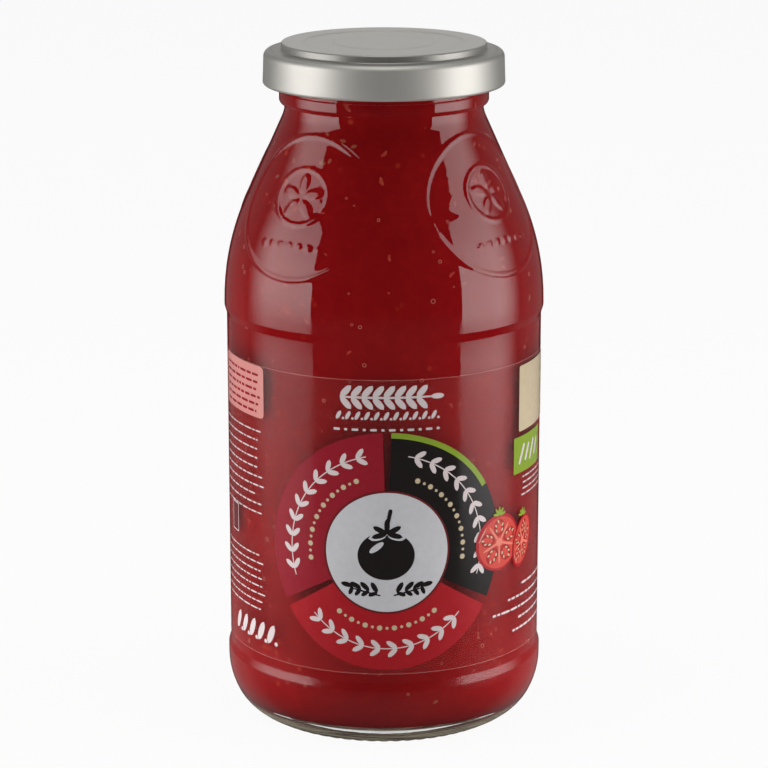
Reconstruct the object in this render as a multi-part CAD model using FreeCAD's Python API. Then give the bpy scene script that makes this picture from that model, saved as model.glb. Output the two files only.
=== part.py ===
"""Filled twist-off jar of tomato pulp: glass jar, pressed steel lid, pulp and clear film label.

Millimetres. The origin is the centre of the bearing ring on which the jar stands, +Z points up and -Y is
the front. Each turned piece is drawn as half a section, radius against height, and revolved. Angles run
anticlockwise from +X, seen from above.
"""

import FreeCAD, Part
import math
import os

# Glass body, from the bearing ring upwards
BODY_RADIUS = 37.78        # the two rolls that guard the label panel
WALL = 2.8                 # side wall, shoulder and neck
BASE_THICKNESS = 4.4       # at the centre of the base
PUSH_UP = 2.6              # height of the hollow under the base
PUSH_UP_SLOPE = 9.0        # length over which the hollow falls to the ring
PUSH_UP_ROUND = 30.0
BEARING_WIDTH = 1.6        # flat of the ring on which the jar stands
HEEL_INSET = 4.85          # from the body to the corner of the heel's two tangents
HEEL_RISE = 9.3            # height of the heel's corner with the body
HEEL_FOOT_ROUND = 10.2     # heel radius next to the bearing ring
HEEL_FLARE_ROUND = 17.4    # heel radius next to the body
HEEL_FLOOR = 5.2           # height of the cavity's corner above the heel
INNER_HEEL_ROUND = 9.0     # rounding of that corner
LOWER_ROLL_TOP = 15.0      # where the lower roll ends
PANEL_DEPTH = 0.55         # how far the label panel is let in
PANEL_HEIGHT = 76.0
STEP_LENGTH = 4.0          # height of each step between a roll and the panel
STEP_ROUND = 7.0
SHOULDER_RISE = 14.7       # from the upper step to the corner of shoulder and cone
SHOULDER_ROUND = 60.0
CONE_HEIGHT = 32.3

# Glass finish: neck, transfer bead, thread and sealing rim
NECK_RADIUS = 23.2
NECK_ROUND = 6.8
NECK_HEIGHT = 1.6          # from the end of the cone to the bead
BEAD_DEPTH = 1.27          # how far the bead stands out from the neck
BEAD_HEIGHT = 3.4
BEAD_ROUND = 1.5
FINISH_DEPTH = 0.9         # how far the threaded wall stands out from the neck
FINISH_HEIGHT = 10.7       # from the top of the bead to the rim
RIM_INSET = 0.9            # how far the sealing rim is set in from the threaded wall
RIM_HEIGHT = 2.3           # from the threaded wall's shoulder to the top of the rim
RIM_ROUND = 1.2
THREAD_STARTS = 4
THREAD_DEPTH = 1.9
THREAD_FOOT = 2.4          # height of the thread where it leaves the wall
THREAD_CREST = 1.0
THREAD_ROOT = 0.8          # how deep the thread is rooted in the wall
THREAD_ARC = 72.0          # degrees that each start runs
THREAD_CLIMB = 1.7         # how much a start climbs over its arc
THREAD_FADE = 12.0         # degrees over which an end runs out into the wall
THREAD_STEP = 6.0          # degrees between sections

# Medallions and knurling moulded in the glass
MEDALLIONS = 4
MEDALLION_TURN = -128.0    # direction in which the first medallion faces
MEDALLION_DROP = 19.3      # from the end of the cone down to its middle
MEDALLION_RADIUS = 17.8
MEDALLION_RIDGE = 1.1      # width of its raised ring
RELIEF = 0.35              # height of what is raised on the shoulder
RELIEF_ROOT = 0.6          # how deep raised work is rooted in the wall
MOTIF_RISE = 2.5           # from the medallion's middle to the fruit's
FRUIT_RADIUS = 7.0
SEPALS = 5
SEPAL_LENGTH = 4.6
SEPAL_WIDTH = 2.2
STUDS = 7                  # row of round studs under the fruit
STUD_RADIUS = 0.75
STUD_PITCH = 2.6
STUD_DROP = 9.6            # from the medallion's middle down to the row
KNURLS = 66
KNURL_ROUND = 1.0          # radius of the cutter that makes one scallop
KNURL_DEPTH = 0.25
KNURL_TILT = 15.0          # slope of the heel, in degrees, where the scallops are deepest

# Contents
HEADSPACE = 7.1            # from the pulp to the rim

# Lid
LID_SHEET = 0.25
LID_THREAD_GAP = 1.7       # from the thread to the skirt's inside, at its narrow upper end
LID_DRAFT = 0.3            # how much the skirt widens towards its foot
LID_HEIGHT = 9.75
LID_EDGE_ROUND = 1.5       # from the skirt to the step
LID_PANEL_RISE = 1.8       # raised panel above the step
LID_PANEL_GAP = 0.45       # from the panel's wall to the glass rim inside it
LID_PANEL_ROUND = 0.45
LID_CURL_WIDTH = 1.7       # how far the foot of the skirt is rolled in
LID_CURL_HEIGHT = 1.5
LID_CURL_ROUND = 0.7
LID_FIELD_INSET = 2.0      # from the bore to the edge of the field let into the panel
LID_FIELD_DEPTH = 0.3
LID_FIELD_SLOPE = 0.5
BUTTON_RADIUS = 12.1       # the safety button in the middle
BUTTON_RISE = 0.25
BUTTON_SLOPE = 0.6
LUG_BITE = 1.0             # how far a lug reaches under the thread
LUG_HEIGHT = 1.1
LUG_WIDTH = 9.0
LUG_TURN = 26.0            # degrees from the low end of a thread start to the middle of its lug
LUG_PLAY = 0.05            # between a lug and the thread above it

# Label, a clear film sleeve
LABEL_HEIGHT = 70.4
LABEL_FOOT = 1.0           # from the foot of the panel to the label
LABEL_FILM = 0.06
LABEL_LAP = 8.0            # overlap of the film's two ends, at the back

# Heights that follow
PANEL_BOTTOM = LOWER_ROLL_TOP + STEP_LENGTH
PANEL_TOP = PANEL_BOTTOM + PANEL_HEIGHT
UPPER_ROLL_BOTTOM = PANEL_TOP + STEP_LENGTH
CONE_BOTTOM = UPPER_ROLL_BOTTOM + SHOULDER_RISE
CONE_TOP = CONE_BOTTOM + CONE_HEIGHT
BEAD_BOTTOM = CONE_TOP + NECK_HEIGHT
BEAD_TOP = BEAD_BOTTOM + BEAD_HEIGHT
RIM_TOP = BEAD_TOP + FINISH_HEIGHT
FILL_LEVEL = RIM_TOP - HEADSPACE
LID_TOP = RIM_TOP + LID_SHEET
LID_FOOT = LID_TOP - LID_HEIGHT
LUG_TOP = LID_FOOT + LID_CURL_HEIGHT

# Radii and angles that follow
PANEL_RADIUS = BODY_RADIUS - PANEL_DEPTH
CAVITY_RADIUS = PANEL_RADIUS - WALL
HEEL_FOOT_RADIUS = BODY_RADIUS - HEEL_INSET
HEEL_TURN = math.atan2(HEEL_RISE, HEEL_INSET)
BEARING_RADIUS = HEEL_FOOT_RADIUS - HEEL_FOOT_ROUND * math.tan(HEEL_TURN / 2)
BORE_RADIUS = NECK_RADIUS - WALL
FINISH_RADIUS = NECK_RADIUS + FINISH_DEPTH
RIM_RADIUS = FINISH_RADIUS - RIM_INSET
THREAD_RADIUS = FINISH_RADIUS + THREAD_DEPTH
LID_RADIUS = THREAD_RADIUS + LID_THREAD_GAP + LID_SHEET
CONE_LEAN = math.atan2(BODY_RADIUS - NECK_RADIUS, CONE_HEIGHT)

TINY = 1e-6
FULL_TURN = 360.0
AXIS = FreeCAD.Vector(0, 0, 1)
CENTRE = FreeCAD.Vector(0, 0, 0)


def rounded(corners):
    """Edges of an open outline. Each corner is (radius, height, rounding), and a rounding is cut down
    where the sides next to it are too short for it."""
    points = [FreeCAD.Vector(r, 0, z) for r, z, _ in corners]
    sides = [(b - a).Length for a, b in zip(points, points[1:])]
    half_turns = [0.0] * len(points)
    reaches = [0.0] * len(points)
    for i in range(1, len(points) - 1):
        half_turns[i] = (points[i] - points[i - 1]).getAngle(points[i + 1] - points[i]) / 2
        reaches[i] = corners[i][2] * math.tan(half_turns[i])
    for i, side in enumerate(sides):
        wanted = reaches[i] + reaches[i + 1]
        if wanted > side:
            reaches[i] *= side / wanted
            reaches[i + 1] *= side / wanted
    edges = []
    here = points[0]
    for i in range(1, len(points)):
        back = (points[i - 1] - points[i]).normalize()
        start = points[i] + back * reaches[i]
        if (start - here).Length > TINY:
            edges.append(Part.makeLine(here, start))
            here = start
        if reaches[i] > TINY:
            onward = (points[i + 1] - points[i]).normalize()
            end = points[i] + onward * reaches[i]
            depth = reaches[i] * math.tan(half_turns[i] / 2)
            middle = points[i] + (back + onward).normalize() * depth
            edges.append(Part.Arc(here, middle, end).toShape())
            here = end
    return edges


def beside(corners, distance):
    """The same outline moved sideways by distance, to the right of its run where distance is positive."""
    points = [FreeCAD.Vector(r, 0, z) for r, z, _ in corners]
    runs = [(b - a).normalize() for a, b in zip(points, points[1:])]
    moved = []
    for i, point in enumerate(points):
        before = runs[max(i - 1, 0)]
        after = runs[min(i, len(runs) - 1)]
        right_before = FreeCAD.Vector(before.z, 0, -before.x)
        right_after = FreeCAD.Vector(after.z, 0, -after.x)
        both = right_before + right_after
        shift = both * (2 * distance / both.dot(both))
        turns_right = after.dot(right_before) > 0
        rounding = corners[i][2]
        if rounding > 0:
            rounding = max(rounding - distance if turns_right else rounding + distance, TINY)
        moved.append((point.x + shift.x, point.z + shift.z, rounding))
    return moved


def turned(corners, angle=FULL_TURN):
    """The solid that an outline makes when it is closed along its last side and revolved."""
    edges = rounded(corners)
    first = FreeCAD.Vector(corners[0][0], 0, corners[0][1])
    last = FreeCAD.Vector(corners[-1][0], 0, corners[-1][1])
    edges.append(Part.makeLine(last, first))
    return Part.Face(Part.Wire(edges)).revolve(CENTRE, AXIS, angle)


def around(shape, count, first=0.0):
    """Copies of a shape spaced evenly about the axis, the first turned by that many degrees."""
    copies = []
    for i in range(count):
        copy = shape.copy()
        copy.rotate(CENTRE, AXIS, first + i * FULL_TURN / count)
        copies.append(copy)
    return copies


def outside():
    """Outer corners of the glass, from under its middle up to the sealing rim."""
    hollow = BEARING_RADIUS - BEARING_WIDTH
    rim_foot = RIM_TOP - RIM_HEIGHT
    return [
        (0, PUSH_UP, 0),
        (hollow - PUSH_UP_SLOPE, PUSH_UP, PUSH_UP_ROUND),
        (hollow, 0, 0),
        (HEEL_FOOT_RADIUS, 0, HEEL_FOOT_ROUND),
        (BODY_RADIUS, HEEL_RISE, HEEL_FLARE_ROUND),
        (BODY_RADIUS, LOWER_ROLL_TOP, STEP_ROUND),
        (PANEL_RADIUS, PANEL_BOTTOM, STEP_ROUND),
        (PANEL_RADIUS, PANEL_TOP, STEP_ROUND),
        (BODY_RADIUS, UPPER_ROLL_BOTTOM, STEP_ROUND),
        (BODY_RADIUS, CONE_BOTTOM, SHOULDER_ROUND),
        (NECK_RADIUS, CONE_TOP, NECK_ROUND),
        (NECK_RADIUS, BEAD_BOTTOM, 0),
        (NECK_RADIUS + BEAD_DEPTH, BEAD_BOTTOM, BEAD_ROUND),
        (NECK_RADIUS + BEAD_DEPTH, BEAD_TOP, BEAD_ROUND),
        (FINISH_RADIUS, BEAD_TOP, 0),
        (FINISH_RADIUS, rim_foot, 0),
        (RIM_RADIUS, rim_foot + RIM_INSET, 0),
        (RIM_RADIUS, RIM_TOP, RIM_ROUND),
        (BORE_RADIUS, RIM_TOP, RIM_ROUND),
    ]


def cavity_cone_height(radius):
    """Height at which the cavity's cone, one wall inside the outer cone, has this radius."""
    return CONE_BOTTOM + (BODY_RADIUS - radius) / math.tan(CONE_LEAN) - WALL / math.sin(CONE_LEAN)


def inside(top):
    """Corners of the cavity, from its middle up to this height in the bore."""
    return [
        (0, PUSH_UP + BASE_THICKNESS, 0),
        (CAVITY_RADIUS, HEEL_FLOOR, INNER_HEEL_ROUND),
        (CAVITY_RADIUS, cavity_cone_height(CAVITY_RADIUS), SHOULDER_ROUND - WALL),
        (BORE_RADIUS, cavity_cone_height(BORE_RADIUS), NECK_ROUND + WALL),
        (BORE_RADIUS, top, 0),
    ]


def thread_flank(radius):
    """Half the height of the thread's section at this radius."""
    root = FINISH_RADIUS - THREAD_ROOT
    share = (THREAD_RADIUS - radius) / (THREAD_RADIUS - root)
    return (THREAD_CREST + (THREAD_FOOT - THREAD_CREST) * share) / 2


def thread_start():
    """One start of the thread. It climbs anticlockwise, fades into the wall at both ends and clears the
    lug below it where the lug's clockwise end comes nearest to it."""
    climb = THREAD_CLIMB / THREAD_ARC
    lug_end = LUG_TURN - lug_angle() / 2
    low = LUG_TOP + LUG_PLAY + thread_flank(THREAD_RADIUS - LUG_BITE) - climb * lug_end
    root = FINISH_RADIUS - THREAD_ROOT
    sections = []
    for i in range(round(THREAD_ARC / THREAD_STEP) + 1):
        angle = i * THREAD_STEP
        fade = min(1, angle / THREAD_FADE, (THREAD_ARC - angle) / THREAD_FADE)
        crest = FINISH_RADIUS + THREAD_DEPTH * math.sin(fade * math.pi / 2)
        height = low + climb * angle
        corners = [
            FreeCAD.Vector(root, 0, height - THREAD_FOOT / 2),
            FreeCAD.Vector(crest, 0, height - THREAD_CREST / 2),
            FreeCAD.Vector(crest, 0, height + THREAD_CREST / 2),
            FreeCAD.Vector(root, 0, height + THREAD_FOOT / 2),
        ]
        section = Part.makePolygon(corners + corners[:1])
        section.rotate(CENTRE, AXIS, angle)
        sections.append(section)
    return Part.makeLoft(sections, True)


def raised_motif():
    """Upright prisms of one medallion about +Z: its ring, a fruit with sepals seen from above, and studs."""
    reach = MEDALLION_RADIUS
    up = FreeCAD.Vector(0, 0, 1)
    foot = FreeCAD.Vector(0, 0, -reach)
    fruit = foot + FreeCAD.Vector(0, MOTIF_RISE, 0)
    prisms = []
    for middle, radius in ((foot, MEDALLION_RADIUS), (fruit, FRUIT_RADIUS)):
        outer = Part.makeCylinder(radius + MEDALLION_RIDGE / 2, 2 * reach, middle)
        prisms.append(outer.cut(Part.makeCylinder(radius - MEDALLION_RIDGE / 2, 2 * reach, middle)))
    for i in range(SEPALS):
        ellipse = Part.Ellipse(CENTRE, SEPAL_LENGTH / 2, SEPAL_WIDTH / 2).toShape()
        sepal = Part.Face(Part.Wire(ellipse)).extrude(up * 2 * reach)
        sepal.translate(FreeCAD.Vector(SEPAL_LENGTH / 2 + SEPAL_WIDTH / 2, 0, 0))
        sepal.rotate(CENTRE, up, 90 + i * FULL_TURN / SEPALS)
        sepal.translate(fruit)
        prisms.append(sepal)
    for i in range(STUDS):
        across = (i - (STUDS - 1) / 2) * STUD_PITCH
        stud_foot = foot + FreeCAD.Vector(across, -STUD_DROP, 0)
        prisms.append(Part.makeCylinder(STUD_RADIUS, 2 * reach, stud_foot))
    return Part.makeCompound(prisms)


def medallion():
    """One medallion facing +X: its motif, cut out of a skin that follows the shoulder."""
    run = [
        (BODY_RADIUS, UPPER_ROLL_BOTTOM, 0),
        (BODY_RADIUS, CONE_BOTTOM, SHOULDER_ROUND),
        (NECK_RADIUS, CONE_TOP, 0),
    ]
    skin = turned(beside(run, RELIEF) + beside(run, -RELIEF_ROOT)[::-1], FULL_TURN / MEDALLIONS)
    skin.rotate(CENTRE, AXIS, -FULL_TURN / MEDALLIONS / 2)
    height = CONE_TOP - MEDALLION_DROP
    radius = NECK_RADIUS + MEDALLION_DROP * math.tan(CONE_LEAN)
    across = FreeCAD.Vector(0, 1, 0)
    upwards = FreeCAD.Vector(-math.sin(CONE_LEAN), 0, math.cos(CONE_LEAN))
    outwards = FreeCAD.Vector(math.cos(CONE_LEAN), 0, math.sin(CONE_LEAN))
    motif = raised_motif()
    turn = FreeCAD.Rotation(across, upwards, outwards, "ZXY")
    motif.Placement = FreeCAD.Placement(FreeCAD.Vector(radius, 0, height), turn)
    return skin.common(motif)


def scallop():
    """The cutter of one knurl facing +X: a short round bar laid along the heel near the bearing ring."""
    lean = math.radians(KNURL_TILT)
    below = FreeCAD.Vector(math.sin(lean), 0, -math.cos(lean))
    along = FreeCAD.Vector(math.cos(lean), 0, math.sin(lean))
    heel_centre = FreeCAD.Vector(BEARING_RADIUS, 0, HEEL_FOOT_ROUND)
    middle = heel_centre + below * (HEEL_FOOT_ROUND + KNURL_ROUND - KNURL_DEPTH)
    length = 2 * math.sqrt(2 * HEEL_FOOT_ROUND * KNURL_DEPTH) + 2 * KNURL_ROUND
    return Part.makeCylinder(KNURL_ROUND, length, middle - along * (length / 2), along)


def glass_jar():
    """The hollow jar with its thread, its medallions and the knurling round its foot."""
    jar = turned(outside() + inside(RIM_TOP)[-2::-1])
    raised = around(thread_start(), THREAD_STARTS) + around(medallion(), MEDALLIONS, MEDALLION_TURN)
    return jar.fuse(raised).cut(around(scallop(), KNURLS))


def tomato_pulp():
    """The pulp fills the cavity from wall to wall up to its level."""
    return turned(inside(FILL_LEVEL) + [(0, FILL_LEVEL, 0)])


def lug_angle():
    """Degrees that a lug spans at its tip."""
    return math.degrees(LUG_WIDTH / (THREAD_RADIUS - LUG_BITE))


def lid():
    """Pressed steel lid: button, field, raised panel, step, skirt, and the curl at its foot with lugs
    pressed inwards from it."""
    field_top = LID_TOP - LID_FIELD_DEPTH
    step_top = LID_TOP - LID_PANEL_RISE
    wall_radius = RIM_RADIUS + LID_PANEL_GAP + LID_SHEET
    field_radius = BORE_RADIUS - LID_FIELD_INSET
    foot_radius = LID_RADIUS + LID_DRAFT
    curl_radius = foot_radius - LID_CURL_WIDTH
    top = [
        (0, field_top + BUTTON_RISE, 0),
        (BUTTON_RADIUS - BUTTON_SLOPE, field_top + BUTTON_RISE, BUTTON_SLOPE),
        (BUTTON_RADIUS, field_top, BUTTON_SLOPE),
        (field_radius, field_top, LID_FIELD_SLOPE),
        (field_radius + LID_FIELD_SLOPE, LID_TOP, LID_FIELD_SLOPE),
        (wall_radius, LID_TOP, LID_PANEL_ROUND),
        (wall_radius, step_top, LID_PANEL_ROUND),
        (LID_RADIUS, step_top, LID_EDGE_ROUND),
        (foot_radius, LID_FOOT, LID_CURL_ROUND),
        (curl_radius, LID_FOOT, LID_CURL_ROUND),
        (curl_radius, LUG_TOP, 0),
    ]
    under = beside(top, LID_SHEET)
    under[0] = (0, under[0][1], 0)
    shell = turned(top + under[::-1])
    tip = THREAD_RADIUS - LUG_BITE
    heel = curl_radius + LID_SHEET / 2
    lug_foot = LUG_TOP - LUG_HEIGHT
    lug_section = [(tip, lug_foot, 0), (heel, lug_foot, 0), (heel, LUG_TOP, 0), (tip, LUG_TOP, 0)]
    lug = turned(lug_section, lug_angle())
    return shell.fuse(around(lug, THREAD_STARTS, LUG_TURN - lug_angle() / 2))


def label():
    """Film sleeve round the panel, with its ends glued one over the other at the back."""
    foot = PANEL_BOTTOM + LABEL_FOOT
    head = foot + LABEL_HEIGHT
    inner = PANEL_RADIUS
    outer = inner + LABEL_FILM
    sleeve = turned([(inner, foot, 0), (outer, foot, 0), (outer, head, 0), (inner, head, 0)])
    lap_angle = math.degrees(LABEL_LAP / outer)
    lapped = outer + LABEL_FILM
    lap = turned([(outer, foot, 0), (lapped, foot, 0), (lapped, head, 0), (outer, head, 0)], lap_angle)
    lap.rotate(CENTRE, AXIS, 90 - lap_angle / 2)
    return sleeve.fuse(lap)


def main():
    """Write each piece to its own file."""
    os.makedirs("parts", exist_ok=True)
    pieces = {
        "glass_jar": glass_jar(),
        "tomato_pulp": tomato_pulp(),
        "lid": lid(),
        "label": label(),
    }
    for name, piece in pieces.items():
        solid = piece.Solids[0] if len(piece.Solids) == 1 else piece
        solid.exportStep(f"parts/{name}.step")
        print(name, "valid" if piece.isValid() else "INVALID", len(piece.Solids), round(piece.Volume, 1))


main()
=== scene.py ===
"""Looks of a twist-off jar of tomato pulp: moulded clear glass, red pulp with seeds and bubbles, a satin
steel lid and a printed clear film. Laid out as a Blender add-on and run as a script. Metres; -Y is the front.
"""

import math
import random

import bmesh
import bpy
from mathutils import Matrix, Vector


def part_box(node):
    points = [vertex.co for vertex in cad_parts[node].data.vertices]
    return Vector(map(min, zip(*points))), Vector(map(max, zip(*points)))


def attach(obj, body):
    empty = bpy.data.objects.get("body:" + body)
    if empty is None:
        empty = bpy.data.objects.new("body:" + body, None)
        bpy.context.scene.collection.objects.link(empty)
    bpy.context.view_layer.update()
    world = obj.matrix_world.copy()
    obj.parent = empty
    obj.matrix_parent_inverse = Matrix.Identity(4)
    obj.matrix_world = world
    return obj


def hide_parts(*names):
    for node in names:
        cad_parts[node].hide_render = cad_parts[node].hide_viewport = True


bl_info = {
    "name": "Jar of tomato pulp",
    "version": (1, 0, 0),
    "blender": (4, 5, 0),
    "location": "3D View > Sidebar > Jar",
    "description": "Builds the finished look of a filled twist-off jar round its CAD frame",
    "category": "Object",
}

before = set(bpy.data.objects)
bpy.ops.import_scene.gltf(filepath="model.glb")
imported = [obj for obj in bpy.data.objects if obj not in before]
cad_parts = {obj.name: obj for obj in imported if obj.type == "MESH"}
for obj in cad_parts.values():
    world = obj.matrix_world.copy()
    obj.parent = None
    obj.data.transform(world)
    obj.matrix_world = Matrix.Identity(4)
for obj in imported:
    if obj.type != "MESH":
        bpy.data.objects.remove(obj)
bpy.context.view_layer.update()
MM = 0.001
FULL_TURN = 2 * math.pi
LABEL_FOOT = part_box("label")[0].z
LABEL_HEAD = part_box("label")[1].z
FILM_RADIUS = -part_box("label")[0].y
FILL_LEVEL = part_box("tomato_pulp")[1].z


# Sizes and colours


def length(name, description, default):
    """A size in metres that a user can change."""
    return bpy.props.FloatProperty(
        name=name, description=description, default=default, min=0, unit="LENGTH", subtype="DISTANCE"
    )


def colour(name, description, default):
    """A linear colour that a user can change."""
    return bpy.props.FloatVectorProperty(
        name=name, description=description, default=default, min=0, max=1, size=3, subtype="COLOR"
    )


class JarSizes(bpy.types.PropertyGroup):
    """Sizes of what is modelled on top of the CAD frame."""

    medallion_radius: length("Medallion radius", "Middle line of the raised ring on the shoulder", 17.8 * MM)
    medallion_ridge: length("Medallion ridge", "Width of the raised ring", 1.1 * MM)
    medallion_height: length("Medallion height", "Height of its middle above the floor", 127.75 * MM)
    medallion_reach: length("Medallion reach", "Distance of its middle from the axis", 31.44 * MM)
    relief: length("Relief", "Height of the raised glass", 0.20 * MM)
    relief_edge: length("Relief edge", "Width over which the raised glass falls away", 0.85 * MM)
    lower_step: length("Lower step", "Height of the step below the label panel", 16.8 * MM)
    upper_step: length("Upper step", "Height of the step above the label panel", 99.2 * MM)
    knurl_depth: length("Knurl depth", "Depth of the scallops round the foot", 0.25 * MM)
    knurl_radius: length("Knurl radius", "Distance of the deepest scallops from the axis", 29.4 * MM)
    pulp_overlap: length("Pulp overlap", "How far the pulp reaches into the glass, so that no air shows", 0.08 * MM)
    seed: length("Seed", "Length of a tomato seed", 2.0 * MM)
    bubble: length("Bubble", "Widest bubble against the glass", 1.1 * MM)
    fleck: length("Fleck", "Longest scrap of skin or flesh", 2.4 * MM)
    badge_radius: length("Badge radius", "Outer edge of the round badge on the label", 28.5 * MM)
    badge_disc: length("Badge disc", "Radius of the pale disc in the badge", 14.3 * MM)
    badge_height: length("Badge height", "Height of the badge's middle above the floor", 49.6 * MM)
    ink_step: length("Ink step", "Distance between two layers of ink", 0.012 * MM)


class JarColours(bpy.types.PropertyGroup):
    """Colours of the finishes."""

    glass: colour("Glass", "Tint of the glass", (0.89, 0.945, 0.90))
    glass_foot: colour("Glass foot", "Deeper tint where the glass is thickest", (0.68, 0.69, 0.56))
    # Partly painted light: pale streaks standing for scuffs and for glints of light in the thick foot
    glass_worn: colour("Worn glass", "Pale lines in the scuffed foot", (0.42, 0.40, 0.28))
    pulp: colour("Pulp", "Body of the pulp", (0.19, 0.0034, 0.0048))
    pulp_light: colour("Light pulp", "Coarser flesh in the pulp", (0.26, 0.0065, 0.0065))
    fleck: colour("Flecks", "Scraps of skin and flesh", (0.36, 0.036, 0.016))
    seed: colour("Seeds", "Seeds and their jelly", (0.33, 0.055, 0.026))
    # Painted highlight: the pale colour stands for light caught at the rims of clear air bubbles
    bubble: colour("Bubbles", "Small bubbles against the glass", (0.52, 0.13, 0.10))
    steel: colour("Steel", "Satin tinplate of the lid", (0.60, 0.58, 0.54))
    ink_pale: colour("Pale ink", "Rules and leaves", (0.58, 0.50, 0.50))
    ink_grey: colour("Grey ink", "Disc of the badge", (0.50, 0.50, 0.52))
    ink_black: colour("Black ink", "Dark field and the motif", (0.012, 0.009, 0.009))
    ink_crimson: colour("Crimson ink", "Crimson field", (0.245, 0.009, 0.019))
    ink_maroon: colour("Maroon ink", "Maroon field", (0.115, 0.012, 0.013))
    ink_red: colour("Red ink", "Bright field", (0.33, 0.009, 0.014))
    ink_green: colour("Green ink", "Side field and leaves", (0.20, 0.29, 0.025))
    ink_beige: colour("Beige ink", "Upper side field", (0.48, 0.39, 0.26))
    ink_pink: colour("Pink ink", "Panel at the other side", (0.56, 0.22, 0.20))
    ink_flesh: colour("Flesh ink", "Cut faces of the printed tomatoes", (0.50, 0.05, 0.035))
    ink_gel: colour("Gel ink", "Seed chambers of the printed tomatoes", (0.30, 0.012, 0.010))
    ink_core: colour("Core ink", "Cores and ribs of the printed tomatoes", (0.62, 0.17, 0.12))
    floor: colour("Floor", "Floor as lamps light it", (0.80, 0.80, 0.80))


# Shader values and materials


class Value:
    """A socket in a material's node tree. Arithmetic on it adds Math nodes."""

    def __init__(self, tree, socket):
        self.tree = tree
        self.socket = socket

    def math(self, operation, *others):
        node = self.tree.nodes.new("ShaderNodeMath")
        node.operation = operation
        for slot, value in zip(node.inputs, (self,) + others):
            connect(self.tree, value, slot)
        return Value(self.tree, node.outputs[0])

    def __add__(self, other):
        return self.math("ADD", other)

    def __sub__(self, other):
        return self.math("SUBTRACT", other)

    def __mul__(self, other):
        return self.math("MULTIPLY", other)

    def __truediv__(self, other):
        return self.math("DIVIDE", other)

    def __rsub__(self, other):
        return constant(self.tree, other).math("SUBTRACT", self)

    __radd__ = __add__
    __rmul__ = __mul__

    def step(self, start, end):
        """0 below start, 1 above end and smooth between them."""
        node = self.tree.nodes.new("ShaderNodeMapRange")
        node.interpolation_type = "SMOOTHSTEP"
        for slot, value in zip(node.inputs, (self, start, end)):
            connect(self.tree, value, slot)
        return Value(self.tree, node.outputs[0])


def connect(tree, value, slot):
    """Links a value to a socket, or sets the socket to a plain number or colour."""
    if isinstance(value, Value):
        tree.links.new(value.socket, slot)
    elif hasattr(slot.default_value, "__len__") and len(slot.default_value) == 4:
        slot.default_value = (*value, 1) if len(value) == 3 else value
    else:
        slot.default_value = value


def constant(tree, number):
    """A plain number as a value."""
    node = tree.nodes.new("ShaderNodeValue")
    node.outputs[0].default_value = number
    return Value(tree, node.outputs[0])


class Finish:
    """A material under way, on the piece's own Object coordinates."""

    def __init__(self, name):
        self.material = bpy.data.materials.new(name)
        self.material.use_nodes = True
        self.tree = self.material.node_tree
        self.tree.nodes.clear()
        self.place = self.node("ShaderNodeTexCoord", output="Object")

    def node(self, kind, settings=None, inputs=None, output=0):
        """Adds a node, first its settings, then its inputs by name or number, and returns one output."""
        node = self.tree.nodes.new(kind)
        for name, value in (settings or {}).items():
            setattr(node, name, value)
        for name, value in (inputs or {}).items():
            connect(self.tree, value, node.inputs[name])
        return Value(self.tree, node.outputs[output])

    def apart(self, vector):
        """The x, y and z of a vector."""
        x = self.node("ShaderNodeSeparateXYZ", inputs={0: vector})
        return tuple(Value(self.tree, x.socket.node.outputs[i]) for i in range(3))

    def together(self, x, y, z):
        """A vector of three values."""
        return self.node("ShaderNodeCombineXYZ", inputs={0: x, 1: y, 2: z})

    def noise(self, scale, detail=2.0, roughness=0.5, vector=None):
        inputs = {"Vector": vector or self.place, "Scale": scale, "Detail": detail, "Roughness": roughness}
        return self.node("ShaderNodeTexNoise", inputs=inputs)

    def blend(self, low, high, factor):
        """Goes from one colour to another."""
        return self.node("ShaderNodeMix", {"data_type": "RGBA"}, {0: factor, 6: low, 7: high}, output=2)

    def bump(self, height, distance, strength=1.0):
        return self.node("ShaderNodeBump", inputs={"Height": height, "Distance": distance, "Strength": strength})

    def principled(self, **inputs):
        named = {name.replace("_", " "): value for name, value in inputs.items()}
        return self.node("ShaderNodeBsdfPrincipled", inputs=named)

    def mixed(self, first, second, factor):
        return self.node("ShaderNodeMixShader", inputs={0: factor, 1: first, 2: second})

    def done(self, surface):
        out = self.tree.nodes.new("ShaderNodeOutputMaterial")
        self.tree.links.new(surface.socket, out.inputs["Surface"])
        return self.material


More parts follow.
